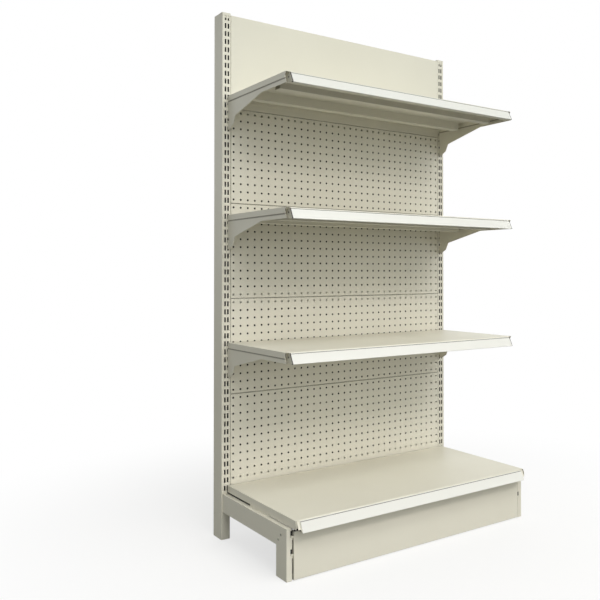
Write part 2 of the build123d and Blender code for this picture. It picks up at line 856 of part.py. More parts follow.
with BuildPart() as kick_plate:
    with BuildSketch(front_plane(-kick_face)):
        with Locations((0, kick_middle_z)):
            Rectangle(2 * kick_half_length, kick_height)
            Rectangle(2 * (kick_half_length - sheet), kick_height - 2 * sheet, mode=Mode.SUBTRACT)
    extrude(amount=-kick_return)
    with BuildSketch(front_plane(-kick_face)):
        with Locations((0, kick_middle_z)):
            Rectangle(2 * kick_half_length, kick_height)
    extrude(amount=-sheet)
    for side in (-1, 1):
        with BuildSketch(front_plane(-tongue_front)):
            for z in kick_hook_z:
                outline(slab(
                    side * (kick_half_length - sheet),
                    side * hook_end,
                    z - kick_tongue_drop,
                    z + kick_hook_height,
                ))
        extrude(amount=-kick_tongue_thickness)
        with BuildSketch(front_plane(-tongue_front)):
            for z in kick_hook_z:
                outline(slab(
                    side * (kick_half_length - sheet),
                    side * (base_inner + kick_notch_width - clearance),
                    z,
                    z + kick_hook_height,
                ))
        extrude(amount=kick_face - sheet - tongue_front)
save(kick_plate.part, "kick_plate")
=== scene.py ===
# %% [markdown]
# # A shop shelving bay, dressed in Blender
# The bay is pressed and folded steel sheet, sprayed with one cream powder coat. The CAD
# model gives every piece its place and size; this file gives each one its folds, punched
# rims, fasteners and finish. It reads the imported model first, and everything after that
# takes its place from it, in metres, with the bay along X, the shopper at -Y and Z up.

# %% Load the frame
import json
from math import cos, pi, radians, sin, tan

import bmesh
import bpy
from mathutils import Matrix, Vector

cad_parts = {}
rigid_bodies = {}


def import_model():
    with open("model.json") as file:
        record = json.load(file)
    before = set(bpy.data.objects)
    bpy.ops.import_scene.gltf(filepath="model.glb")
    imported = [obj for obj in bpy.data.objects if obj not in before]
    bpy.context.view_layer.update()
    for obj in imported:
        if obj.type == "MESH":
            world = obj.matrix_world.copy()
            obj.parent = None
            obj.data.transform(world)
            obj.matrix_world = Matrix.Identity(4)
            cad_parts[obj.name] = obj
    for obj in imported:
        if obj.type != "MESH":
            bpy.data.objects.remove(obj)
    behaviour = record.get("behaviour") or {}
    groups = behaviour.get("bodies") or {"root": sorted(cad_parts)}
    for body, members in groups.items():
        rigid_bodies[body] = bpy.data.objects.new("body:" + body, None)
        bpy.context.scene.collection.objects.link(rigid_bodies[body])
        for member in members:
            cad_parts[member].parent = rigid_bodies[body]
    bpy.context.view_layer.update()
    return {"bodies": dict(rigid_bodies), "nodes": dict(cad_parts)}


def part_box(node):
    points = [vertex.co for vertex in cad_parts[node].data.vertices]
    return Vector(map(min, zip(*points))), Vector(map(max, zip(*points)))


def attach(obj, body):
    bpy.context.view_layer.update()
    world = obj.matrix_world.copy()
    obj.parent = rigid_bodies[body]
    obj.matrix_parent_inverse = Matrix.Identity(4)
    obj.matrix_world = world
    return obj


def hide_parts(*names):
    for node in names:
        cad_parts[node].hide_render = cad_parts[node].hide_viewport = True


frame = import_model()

mm = 0.001

# %% [markdown]
# ## The camera
# The bay is looked at from its left, a little to the front, from half its height, so that
# the uprights stay all but parallel. A picture that keeps uprights parallel but doesn't have
# the object in its middle is made by shifting the lens, not by tilting the camera.

# %% Camera
def put(name, data):
    """A new object in the scene that holds the data."""
    holder = bpy.data.objects.new(name, data)
    bpy.context.scene.collection.objects.link(holder)
    return holder


picture = 600.0                       # the picture's sides, in its own dots
focal_length = 740.85                 # in the same dots
optical_centre = Vector((362.5, 262.0))
sensor = 36.0

eye = bpy.data.cameras.new("eye")
eye.sensor_width = sensor
eye.lens = focal_length * sensor / picture
eye.shift_x = (picture / 2 - optical_centre.x) / picture
eye.shift_y = (optical_centre.y - picture / 2) / picture
camera = put("camera", eye)
camera.location = (-1.4921, -1.9745, 0.8458)
camera.rotation_euler = (radians(90.788), radians(0.04), radians(-35.978))
bpy.context.scene.camera = camera
print("lens", round(eye.lens, 2), "mm, shift", round(eye.shift_x, 4), round(eye.shift_y, 4))

# %% [markdown]
# ## The studio
# Cream paint shows its folds only under soft light that has a direction. Two rows of lamps
# hang over the aisle, as in a shop: one high, which draws the shadow under every front
# edge, and a small one lower, aimed at the kick plate, which the high one can't reach.

# %% Lights
def lamp(name, place, aim, size, power, colour, spread=180):
    """A rectangular soft light, turned towards the point it lights."""
    light = bpy.data.lights.new(name, "AREA")
    light.shape = "RECTANGLE"
    light.size, light.size_y = size
    light.energy = power
    light.color = colour
    light.spread = radians(spread)
    holder = put(name, light)
    holder.location = place
    holder.rotation_euler = (Vector(aim) - Vector(place)).to_track_quat("-Z", "Y").to_euler()
    print(name, power, "W, aimed at", aim)


tube_white = (0.97, 1.0, 0.98)        # greenish, as a shop's tubes are
warm_white = (1.0, 0.94, 0.92)
lamp("aisle_lamps", (0.1, -2.3, 3.9), (0, 0, 0.7), (4.0, 0.9), 50, tube_white)
lamp("kick_lamps", (0.2, -2.6, 2.4), (0, -0.25, 0.05), (3.5, 0.6), 8, warm_white, spread=70)

# %% [markdown]
# ## The room
# The room is plain and white, as a paper background is. What the camera sees of it may be
# whiter than what it throws on the bay, or the bay would have no shadows at all, so the
# world's light path tells the two apart. The light that is thrown has a share for each
# direction: most from the front and the rear, some from the right, little from above, and
# none from the left or from below, which leaves the upright's side and the shelves'
# undersides in shade. The floor does the same: the camera sees pale paper that turns into
# the white of the room with distance, and the bay sees a plain grey.

# %% Node helpers
def feed(node, inputs):
    """Gives a node's sockets, by name or number, a plain value, an output or a list of outputs."""
    for title, given in inputs.items():
        socket = node.inputs[title]
        outputs = given if isinstance(given, list) else [given]
        if isinstance(outputs[0], bpy.types.NodeSocket):
            for output in outputs:
                node.id_data.links.new(output, socket)
        else:
            socket.default_value = given


def add(tree, kind, inputs=None, **settings):
    """A node of that kind, with its settings and then what its sockets are given."""
    node = tree.nodes.new(kind)
    for key, value in settings.items():
        setattr(node, key, value)
    feed(node, inputs or {})
    return node


def by_viewer(tree, for_camera, for_bay, end):
    """Shows the camera one shader and everything else the other."""
    to_camera = add(tree, "ShaderNodeLightPath").outputs["Is Camera Ray"]
    either = add(tree, "ShaderNodeMixShader", {
        "Fac": to_camera, 1: for_bay.outputs[0], 2: for_camera.outputs[0]})
    feed(tree.nodes[end], {"Surface": either.outputs[0]})


# %% Room
room_white = 1.0
shares = {"Z": (0.0, 0.08), "Y": (1.18, 1.12), "X": (0.0, 0.37)}     # from below zero, above zero
world = bpy.data.worlds.new("pale_room")
world.use_nodes = True
room = world.node_tree
seen = room.nodes["Background"]
feed(seen, {"Strength": room_white, "Color": (1.0, 1.0, 1.0, 1)})
towards = add(room, "ShaderNodeTexCoord").outputs["Generated"]
axes = add(room, "ShaderNodeSeparateXYZ", {0: towards}).outputs
total = 0.0
for axis, below_above in shares.items():
    for sign, share in zip((-1, 1), below_above):
        if share:
            lobe = add(room, "ShaderNodeMath", {0: axes[axis], 1: sign},
                       operation="MULTIPLY", use_clamp=True).outputs[0]
            total = add(room, "ShaderNodeMath", {0: lobe, 1: share, 2: total},
                        operation="MULTIPLY_ADD").outputs[0]
thrown = add(room, "ShaderNodeBackground", {"Strength": total, "Color": (0.985, 1.0, 0.985, 1)})
by_viewer(room, seen, thrown, "World Output")
bpy.context.scene.world = world
bpy.context.scene.view_settings.view_transform = "Standard"
print("light thrown along each axis", shares)

# %% Floor
def finish(name, inputs):
    """A new material: itself, its tree, its surface and the piece's own coordinates."""
    material = bpy.data.materials.new(name)
    material.use_nodes = True
    tree = material.node_tree
    surface = tree.nodes["Principled BSDF"]
    feed(surface, inputs)
    return material, tree, surface, add(tree, "ShaderNodeTexCoord").outputs["Object"]


def span(tree, source, low, high, from_low=0.0, from_high=1.0, **settings):
    """The source's numbers, brought from one range to another."""
    return add(tree, "ShaderNodeMapRange", {
        "Value": source, "From Min": from_low, "From Max": from_high,
        "To Min": low, "To Max": high}, **settings).outputs["Result"]


square = ((-1, -1), (1, -1), (1, 1), (-1, 1))
floor_half = 30.0
floor_drop = 0.5 * mm
paper_ends, white_begins = 0.45, 1.7
paper_glow = 0.65                     # the paper under the bay glows this much by itself, which pales its shadows
floor_mesh = bpy.data.meshes.new("floor")
floor_mesh.from_pydata(
    [(x * floor_half, y * floor_half, -floor_drop) for x, y in square], [], [(0, 1, 2, 3)])
paper, near_far, pale, spot = finish(
    "floor_paper", {"Base Color": (0.93, 0.93, 0.92, 1), "Roughness": 0.85})
glow = add(near_far, "ShaderNodeEmission", {"Strength": room_white})
bounce = add(near_far, "ShaderNodeBsdfDiffuse", {"Color": (0.3, 0.3, 0.29, 1)})
reach = add(near_far, "ShaderNodeVectorMath", {0: spot}, operation="LENGTH").outputs["Value"]
ramp = span(near_far, reach, paper_glow, 1.0, paper_ends, white_begins,
            interpolation_type="SMOOTHSTEP")
fading = add(near_far, "ShaderNodeMixShader", {
    "Fac": ramp, 1: pale.outputs[0], 2: glow.outputs[0]})
by_viewer(near_far, fading, bounce, "Material Output")
floor_mesh.materials.append(paper)
put("floor", floor_mesh)
print("paper turns white between", paper_ends, "and", white_begins, "m from the bay's middle")

# %% [markdown]
# ## The powder coat
# Powder coat is plastic dust, charged, blown on and baked. It melts into a skin a tenth of
# a millimetre thick, with the fine dimples that painters call orange peel, a satin sheen
# and very slight drifts of tone where the skin is thicker. The pattern reads the piece's
# own coordinates, so it stays on the metal when a shelf is lifted. One recipe makes every
# coated piece. It also paints shade in two places. On a shelf bracket, just under the edge
# of the shelf's flange, it paints a dark band of shade: the attribute "drop" tells how far
# a point lies below the shelf's top. And on faces inside a tube or between two sheets, seen
# only through holes and slots, and in a rivet's hollow, it paints near-black shade where a
# face attribute is 1. A piece without the attributes reads 0 for both, and is cream all over.

# %% Patterns
def noise(tree, place, scale, detail):
    """A noise pattern on the place's coordinates; its grains are about 1/scale wide."""
    return add(tree, "ShaderNodeTexNoise", {
        "Vector": place, "Scale": scale, "Detail": detail}).outputs["Fac"]


def mixed(tree, factor, first, second):
    """The colour between a first and a second one, each a tone or another node's output."""
    return add(tree, "ShaderNodeMix", {"Factor": factor, "A": first, "B": second},
               data_type="RGBA").outputs["Result"]


def bumps(tree, height, strength, depth, over=None):
    """The surface's direction with bumps of that height, over other bumps if they are given."""
    bump = add(tree, "ShaderNodeBump", {
        "Height": height, "Strength": strength, "Distance": depth})
    if over:
        feed(bump, {"Normal": over})
    return bump.outputs["Normal"]


def marked(tree, attribute):
    """The numbers of a mesh attribute."""
    return add(tree, "ShaderNodeAttribute", attribute_name=attribute).outputs["Fac"]


def painted_shade_band(tree, low, high):
    """A band of painted shade: 1 between two heights of the attribute 'drop', fading over its lower
    half.
    """
    drop = marked(tree, "drop")
    begins = span(tree, drop, 0.0, 1.0, low, low + 0.5 * mm)
    fades = span(tree, drop, 1.0, 0.0, (low + high) / 2, high)
    return add(tree, "ShaderNodeMath", {0: begins, 1: fades}, operation="MULTIPLY").outputs[0]


# %% Powder coat
# where the band of painted shade lies on a bracket, below the shelf's top
crevice_begins, crevice_ends = 16.6 * mm, 22.0 * mm     # below the shelf's top
# the colour of the painted shade under a shelf's flange
painted_shade_tone = (0.30, 0.28, 0.22, 1)
# near-black, painted as shade on faces inside hollows
hollow_shade_tone = (0.035, 0.033, 0.03, 1)
cream_thin = (0.80, 0.775, 0.665, 1)
cream_thick = (0.735, 0.71, 0.60, 1)
sheen_low, sheen_high = 0.34, 0.48
drift_grains, wave_grains = 3.5, 5.0                    # to a metre
speckle_grains, peel_grains = 420.0, 900.0
speckle_share = 0.35


def powder_coat(name, thin, thick):
    """Satin powder coat between two tones, with orange peel, soft drifts of sheen and painted
    shade.
    """
    material, tree, surface, own = finish(name, {"Specular IOR Level": 0.45})
    drift = noise(tree, own, drift_grains, 3.0)
    speckle = noise(tree, own, speckle_grains, 2.0)
    where = add(tree, "ShaderNodeMath", {0: speckle, 1: speckle_share, 2: drift},
                operation="MULTIPLY_ADD").outputs[0]
    clean = mixed(tree, where, thin, thick)
    # painted shade on the brackets, just under the shelf's flange
    shaded_coat = mixed(tree, painted_shade_band(tree, crevice_begins, crevice_ends), clean, painted_shade_tone)
    sheet_wave = bumps(tree, noise(tree, own, wave_grains, 1.0), 0.25, 2.5 * mm)
    # the base colour turns near-black, as painted shade, on faces inside hollows
    feed(surface, {
        "Base Color": mixed(tree, marked(tree, "hollow_shade"), shaded_coat, hollow_shade_tone),
        "Roughness": span(tree, drift, sheen_low, sheen_high, 0.3, 0.7),
        "Normal": bumps(tree, noise(tree, own, peel_grains, 1.5), 0.28, 0.12 * mm, sheet_wave),
    })
    return material


coat = powder_coat("cream_powder_coat", cream_thin, cream_thick)
print("materials", [m.name for m in bpy.data.materials])

# %% [markdown]
# ## Pieces from the CAD model
# Folded sheet has two kinds of edge. A fold is as round as the sheet is thick; a sheared
# edge is only just blunt. The CAD model draws both sharp, so each piece is copied, its
# loose triangles are joined, and a Bevel modifier rounds each edge by its own weight: full
# for folds, a fraction for sheared edges and inside corners. Weighted normals then keep
# the wide faces flat under smooth shading.

# %% Finished pieces
sharp_angle = radians(35)


def plain(holder):
    """The plain mesh that an object's modifiers make of it."""
    seen_now = bpy.context.evaluated_depsgraph_get()
    return bpy.data.meshes.new_from_object(holder.evaluated_get(seen_now))


def baked(sculpt, name):
    """The plain mesh of a bmesh, which is used up."""
    mesh = bpy.data.meshes.new(name)
    sculpt.to_mesh(mesh)
    sculpt.free()
    return mesh


def settled(sculpt, name, bevel=None, steps=2):
    """Bakes a bmesh into a piece: bevelled by edge weight, smooth over bends, flat on faces."""
    rough = baked(sculpt, name + "_rough")
    rough.polygons.foreach_set("use_smooth", [True] * len(rough.polygons))
    holder = put(name + "_rough", rough)
    if bevel:
        rounding = holder.modifiers.new("rounding", "BEVEL")
        rounding.width = bevel
        rounding.segments = steps
        rounding.limit_method = "WEIGHT"
        rounding.use_clamp_overlap = False
    else:
        rough.set_sharp_from_angle(angle=sharp_angle)
    flat = holder.modifiers.new("flat", "WEIGHTED_NORMAL")
    flat.keep_sharp = True
    piece = put(name, plain(holder))
    piece.data.name = name
    bpy.data.objects.remove(holder)
    bpy.data.meshes.remove(rough)
    return piece


def body_of(node):
    """Name of the CAD body that a node rides on."""
    holder = frame["nodes"][node].parent
    return next(name for name, empty in frame["bodies"].items() if empty is holder)


def dress(piece, material, *nodes, body=None):
    """Paints a finished piece, lets it stand for its CAD nodes and ties it to their body."""
    piece.data.materials.clear()
    piece.data.materials.append(material)
    if nodes:
        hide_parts(*nodes)
    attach(piece, body or body_of(nodes[0]))


def paint_hollow_shade(mesh, in_shade):
    """Sets a face attribute to 1 on the faces chosen by their middle and normal, where the coat
    paints near-black shade.
    """
    hollow_shade = mesh.attributes.new("hollow_shade", "FLOAT", "FACE")
    hollow_shade.data.foreach_set(
        "value", [float(in_shade(face.center, face.normal)) for face in mesh.polygons])
    print(mesh.name, "bare faces", sum(1 for value in hollow_shade.data if value.value))


# %% Folded copies
fold_radius = 1.0 * mm
sheared_share, inside_share = 0.2, 0.35
shortest_fold = 12 * mm
shortest_edge = 4 * mm
narrowest_face = 4 * mm
loose = 0.02 * mm                     # between the corners of loose triangles
flat_angle = radians(0.5)
squarely = 0.9                        # of a normal along Y, where a face looks that way


def fold_weight(edge):
    """1 for a fold's outer edge, less inside it, least for a sheared edge, 0 with no room."""
    length = edge.calc_length()
    if length < shortest_edge:
        return 0.0
    narrow = min(face.calc_area() / length for face in edge.link_faces)
    if length < shortest_fold or narrow < narrowest_face:
        return sheared_share
    return 1.0 if edge.is_convex else inside_share


def folded(node, name, radius=fold_radius):
    """A piece copied from a CAD node, with round folds and blunt sheared edges."""
    sculpt = bmesh.new()
    sculpt.from_mesh(frame["nodes"][node].data)
    bmesh.ops.remove_doubles(sculpt, verts=sculpt.verts, dist=loose)
    bmesh.ops.dissolve_limit(
        sculpt, angle_limit=flat_angle, verts=sculpt.verts, edges=sculpt.edges)
    bmesh.ops.connect_verts_concave(sculpt, faces=sculpt.faces)
    weights = sculpt.edges.layers.float.new("bevel_weight_edge")
    for edge in sculpt.edges:
        if edge.calc_face_angle(0) > sharp_angle:
            edge[weights] = fold_weight(edge)
    return settled(sculpt, name, bevel=radius)


sides = ("left", "right")
shelves = (1, 2, 3)                   # from the top down
sheet_steel = [
    "header_panel", "rear_panel_1", "rear_panel_2", "rear_panel_3",
    "bottom_rail", "center_rail", "top_rail", "kick_plate", "base_deck",
    "deck_front_stiffener", "deck_rear_stiffener",
]
sheet_steel += [f"{side}_{part}" for side in sides for part in ("base_beam", "base_foot")]
sheet_steel += [f"{part}_{number}" for number in shelves
                for part in ("shelf_pan", "shelf_front_stiffener", "shelf_rear_stiffener",
                             "left_shelf_bracket", "right_shelf_bracket")]
for node in sheet_steel:
    piece = folded(node, node + "_steel")
    dress(piece, coat, node)
    # near-black painted shade on the faces that look into the hollow behind the panels
    if node.startswith("rear_panel") or node == "header_panel":
        within = 1 if node == "header_panel" else -1
        paint_hollow_shade(piece.data, lambda middle, normal: normal.y * within > squarely)
    # how far each point lies below the shelf's top, for the painted shade under the flange
    if "bracket" in node:
        shelf_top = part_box("shelf_pan_" + node[-1])[1].z
        drop = piece.data.attributes.new("drop", "FLOAT", "POINT")
        drop.data.foreach_set("value", [shelf_top - v.co.z for v in piece.data.vertices])
print("folded pieces", len(sheet_steel))

# %% [markdown]
# ## Punching holes by rule
# Two thousand holes follow one rule: the same punch, stepped along a grid. Geometry Nodes
# are made for that. The script draws the punched hole once, as three things: its mouth on
# the outer face, where the punch drags the sheet's edge in; its throat, which comes out at
# the back; and the rim that joins them. The tree sets a copy at every point of a grid,
# fills the sheet round the mouths and round the throats, and merges the three into one
# closed skin. Other ways are a boolean for each hole, which is slow and leaves ragged
# triangles, or a bump in the material, which would show no light and hook no peg.

# %% Stacks of outlines
def add_stack(sculpt, outlines, ends=True):
    """Quads between each outline of a stack and the next, and a face at either end."""
    rings = [[sculpt.verts.new(point) for point in outline] for outline in outlines]
    if ends:
        sculpt.faces.new(rings[0][::-1])
        sculpt.faces.new(rings[-1])
    for ring, further in zip(rings, rings[1:]):
        for i in range(len(ring)):
            j = (i + 1) % len(ring)
            sculpt.faces.new((ring[i], ring[j], further[j], further[i]))
    return rings


# %% One punched hole
same_place = 0.001 * mm
lip_share = 0.3                       # of the drag that the rim takes in its first step


def hole_outline(half_width, half_height, corner, spread, steps):
    """Points of a hole with so many steps round each corner, grown outwards by spread."""
    points = []
    for turn, (x, y) in enumerate(((1, 1), (-1, 1), (-1, -1), (1, -1))):
        middle = Vector((x * (half_width - corner), y * (half_height - corner)))
        for step in range(steps + 1):
            angle = (turn + step / steps) * pi / 2
            points.append(middle + Vector((cos(angle), sin(angle))) * (corner + spread))
    following = points[1:] + points[:1]
    return [point for point, after in zip(points, following)
            if (point - after).length > same_place]


def outline_curve(name, points):
    """A closed flat curve through the points, for the tree to fill."""
    line = bpy.data.curves.new(name, "CURVE")
    spline = line.splines.new("POLY")
    spline.points.add(len(points) - 1)
    for place, point in zip(spline.points, points):
        place.co = (*point, 0, 1)
    spline.use_cyclic_u = True
    return put(name, line)


def punched_hole(name, half_width, half_height, corner, drag, sheet, steps):
    """The mouth and throat curves of a hole and the rim between them."""
    def ring(spread):
        return hole_outline(half_width, half_height, corner, spread, steps)

    loops = [(ring(drag), 0.0), (ring(lip_share * drag), -lip_share * drag),
             (ring(0.0), -drag), (ring(0.0), -sheet)]
    sculpt = bmesh.new()
    add_stack(sculpt, [[(*point, z) for point in loop] for loop, z in reversed(loops)], ends=False)
    rim = put(name + "_rim", baked(sculpt, name + "_rim"))
    print(name, "rim faces", len(rim.data.polygons))
    mouth = outline_curve(name + "_mouth", loops[0][0])
    return mouth, outline_curve(name + "_throat", loops[-1][0]), rim


# %% The punching tree
def new_tree(name, **inputs):
    """A Geometry Nodes tree with inputs of each kind, and the identifier of each by its name."""
    tree = bpy.data.node_groups.new(name, "GeometryNodeTree")
    tree.interface.new_socket("Geometry", in_out="INPUT", socket_type="NodeSocketGeometry")
    names = {}
    for kind, titles in inputs.items():
        for title in titles:
            socket = tree.interface.new_socket(
                title, in_out="INPUT", socket_type="NodeSocket" + kind)
            names[title] = socket.identifier
    tree.interface.new_socket("Geometry", in_out="OUTPUT", socket_type="NodeSocketGeometry")
    return tree, names


touching = 0.01 * mm                  # corners closer than this become one
punch_tree, punch_input = new_tree(
    "punched_sheet",
    Object=("Mouth", "Throat", "Rim"), Int=("Columns", "Rows"), Material=("Finish",),
    Float=("Width", "Height", "Sheet", "Column Span", "Row Span", "Grid Shift", "Grid Lift"),
)


def copies(tree, shape, points, **inputs):
    """Copies of an object at every point."""
    whole = add(tree, "GeometryNodeObjectInfo", {"Object": shape}).outputs["Geometry"]
    return add(tree, "GeometryNodeInstanceOnPoints", {
        "Points": points, "Instance": whole, **inputs}).outputs["Instances"]


def real(tree, geometry):
    """The geometry with its copies made real."""
    return add(tree, "GeometryNodeRealizeInstances", {"Geometry": geometry}).outputs["Geometry"]


def end_tree(tree, geometry, material):
    """Ends a tree with what it has made, real and painted."""
    paint = add(tree, "GeometryNodeSetMaterial", {
        "Geometry": real(tree, geometry), "Material": material})
    add(tree, "NodeGroupOutput", {"Geometry": paint.outputs["Geometry"]})


def build_punch_tree(tree):
    """Grid of holes, sheet filled round them on both faces, one merged skin."""
    given = add(tree, "NodeGroupInput").outputs
    grid = add(tree, "GeometryNodeMeshGrid", {
        "Size X": given["Column Span"], "Size Y": given["Row Span"],
        "Vertices X": given["Columns"], "Vertices Y": given["Rows"]})
    lift = add(tree, "ShaderNodeCombineXYZ", {"X": given["Grid Shift"], "Y": given["Grid Lift"]})
    placed = add(tree, "GeometryNodeTransform", {
        "Geometry": grid.outputs["Mesh"], "Translation": lift.outputs[0]})
    border = add(tree, "GeometryNodeCurvePrimitiveQuadrilateral", {
        "Width": given["Width"], "Height": given["Height"]})

    def stepped(title):
        """Copies of one of the hole's three things at every point of the grid."""
        return real(tree, copies(tree, given[title], placed.outputs["Geometry"]))

    def filled(title):
        """The sheet's face, filled between its border and the holes."""
        lines = add(tree, "GeometryNodeJoinGeometry", {
            "Geometry": [border.outputs["Curve"], stepped(title)]})
        return add(tree, "GeometryNodeFillCurve", {"Curve": lines.outputs["Geometry"]},
                   mode="TRIANGLES").outputs["Mesh"]

    down = add(tree, "ShaderNodeMath", {0: given["Sheet"], 1: -1.0}, operation="MULTIPLY")
    behind = add(tree, "ShaderNodeCombineXYZ", {"Z": down.outputs[0]})
    turned = add(tree, "GeometryNodeFlipFaces", {"Mesh": filled("Throat")})
    back_face = add(tree, "GeometryNodeTransform", {
        "Geometry": turned.outputs["Mesh"], "Translation": behind.outputs[0]})
    whole_skin = add(tree, "GeometryNodeJoinGeometry", {
        "Geometry": [filled("Mouth"), back_face.outputs["Geometry"], stepped("Rim")]})
    merged = add(tree, "GeometryNodeMergeByDistance", {
        "Geometry": whole_skin.outputs["Geometry"], "Distance": touching})
    end_tree(tree, merged.outputs["Geometry"], given["Finish"])


build_punch_tree(punch_tree)
print("punching tree", len(punch_tree.nodes), "nodes")

# %% Meshes grown by a tree
def grown(tree, identifiers, name, start=None, **values):
    """The plain mesh that a tree makes from a start mesh, or from nothing, and named inputs."""
    holder = put(name, start or bpy.data.meshes.new(name))
    modifier = holder.modifiers.new(name, "NODES")
    modifier.node_group = tree
    for title, value in values.items():
        modifier[identifiers[title.replace("_", " ")]] = value
    holder.update_tag()
    mesh = plain(holder)
    holder.modifiers.remove(modifier)
    bpy.data.objects.remove(holder)
    return mesh


def punched(name, hole, columns, column_pitch, rows, row_pitch, **sizes):
    """A face with the hole's three things at every point of a grid."""
    mouth, throat, rim = hole
    return grown(
        punch_tree, punch_input, name, Mouth=mouth, Throat=throat, Rim=rim,
        Columns=columns, Column_Span=(columns - 1) * column_pitch,
        Rows=rows, Row_Span=(rows - 1) * row_pitch, Finish=coat, **sizes)


def open_edges(sculpt):
    """How many edges don't have a face on both sides."""
    return sum(1 for edge in sculpt.edges if not edge.is_manifold)


# A drawing in X and Y, facing up, stood up so that it faces the shopper or the rear.
facing_front = Matrix(((1, 0, 0, 0), (0, 0, -1, 0), (0, 1, 0, 0), (0, 0, 0, 1)))
facing_rear = Matrix.Rotation(pi, 4, "Z") @ facing_front

# %% [markdown]
# ## The perforated panels
# Each panel is a shallow tray: a punched face, folded back all round, with two tabs at each
# end that hook into the uprights. The punched face comes from the tree. Its folded border
# is a stack of square loops, which go round the bend, back along the flange and forward
# again inside, so that both skins share the corners of the punched face and close up.

# %% Trays and boxes
fold_steps = 3
fold_turns = [step / fold_steps * pi / 2 for step in range(fold_steps + 1)]


def add_box(sculpt, low, high):
    """A closed box between two corners."""
    middle, half = (Vector(low) + Vector(high)) / 2, (Vector(high) - Vector(low)) / 2
    add_stack(sculpt, [[middle + Vector((x * half.x, y * half.y, z * half.z)) for x, y in square]
                       for z in (-1, 1)])


def add_tray_border(sculpt, half_width, half_height, depth, sheet, radius):
    """A tray's folded border: square loops round the bend, back, and forward again inside."""
    outer = [(radius * (1 - sin(a)), radius * (cos(a) - 1)) for a in fold_turns]
    inner = [(radius - (radius - sheet) * sin(a), (radius - sheet) * cos(a) - radius)
             for a in reversed(fold_turns)]
    add_stack(sculpt, [[(x * (half_width - inset), y * (half_height - inset), z) for x, y in square]
                       for inset, z in outer + [(0.0, -depth), (sheet, -depth)] + inner],
              ends=False)


# %% Perforated panels
panel_sheet = 0.9 * mm
peg_radius = 6.35 / 2 * mm
peg_pitch = 25.4 * mm
peg_columns, peg_rows = 35, 12
peg_steps = 4                         # straight sides to a quarter of the hole
peg_drag = 0.25 * mm
tab_reach = 4.5 * mm
tab_height = 12.0 * mm
tab_behind = 6.0 * mm
tab_sheet = 1.2 * mm
tab_from_seam = 60.0 * mm
seam = 1.0 * mm

peg_hole = punched_hole(
    "peg_hole", peg_radius, peg_radius, peg_radius, peg_drag, panel_sheet, peg_steps)


def peg_panel(node, grid_middle):
    """A perforated tray in the place of the CAD node."""
    low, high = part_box(node)
    half_width = (high.x - low.x) / 2 - tab_reach
    half_height = (high.z - low.z) / 2
    middle_z = (high.z + low.z) / 2
    sculpt = bmesh.new()
    sculpt.from_mesh(punched(
        node + "_face", peg_hole, peg_columns, peg_pitch, peg_rows, peg_pitch,
        Width=2 * (half_width - fold_radius), Height=2 * (half_height - fold_radius),
        Sheet=panel_sheet, Grid_Lift=grid_middle - middle_z))
    add_tray_border(sculpt, half_width, half_height, high.y - low.y, panel_sheet, fold_radius)
    bmesh.ops.remove_doubles(sculpt, verts=sculpt.verts, dist=touching)
    holes_left = open_edges(sculpt)
    for side in (-1, 1):
        for tab_z in (low.z + tab_from_seam - seam / 2, high.z - tab_from_seam + seam / 2):
            low_x, high_x = sorted(side * x for x in (half_width - panel_sheet / 2,
                                                      half_width + tab_reach))
            tab_middle = Vector(((low_x + high_x) / 2, tab_z - middle_z, -tab_behind))
            tab_half = Vector((high_x - low_x, tab_height, tab_sheet)) / 2
            add_box(sculpt, tab_middle - tab_half, tab_middle + tab_half)
    sculpt.transform(Matrix.Translation((0, low.y, middle_z)) @ facing_front)
    print(node, "faces", len(sculpt.faces), "open edges", holes_left)
    return settled(sculpt, node + "_skin")


seams = [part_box("peg_panel_1")[0].z + number * peg_rows * peg_pitch for number in range(5)]
for number in (1, 2, 3, 4):
    node = f"peg_panel_{number}"
    piece = peg_panel(node, (seams[number - 1] + seams[number]) / 2)
    # near-black painted shade on the panel's back, seen through its holes
    paint_hollow_shade(piece.data, lambda middle, normal: normal.y > squarely)
    dress(piece, coat, node)

# %% [markdown]
# ## The slotted uprights
# An upright is a rectangular tube with two rows of slots down its front and the same down
# its rear, one pair to the inch. The slotted faces come from the same tree as the panels,
# with a slot for a hole. The pair of rows stands off the middle, nearer to the bay, so the
# tree shifts the grid one way for the front face and the other way for the rear one. The
# rest of the tube, two plain sides and four rounded corners, is one strip of quads from the
# front face to the rear face on each side.

# %% Uprights
wall = 1.5 * mm
corner_radius = 2.2 * mm
slot_half_width = 2.8 * mm
slot_half_height = 7.95 * mm
slot_corner = 0.5 * mm
slot_drag = 0.3 * mm
slot_columns, slot_rows = 2, 60
slot_steps = 2                        # straight sides to each round corner
column_pitch = 9.8 * mm
inner_column = 6.35 * mm
slot_pitch = 25.4 * mm
lowest_slot = 161.1 * mm

slot = punched_hole(
    "slot", slot_half_width, slot_half_height, slot_corner, slot_drag, wall, slot_steps)


def quarter(middle, radius, start):
    """Points of a quarter circle that starts at that angle."""
    return [middle + Vector((cos(start + a), sin(start + a))) * radius for a in fold_turns]


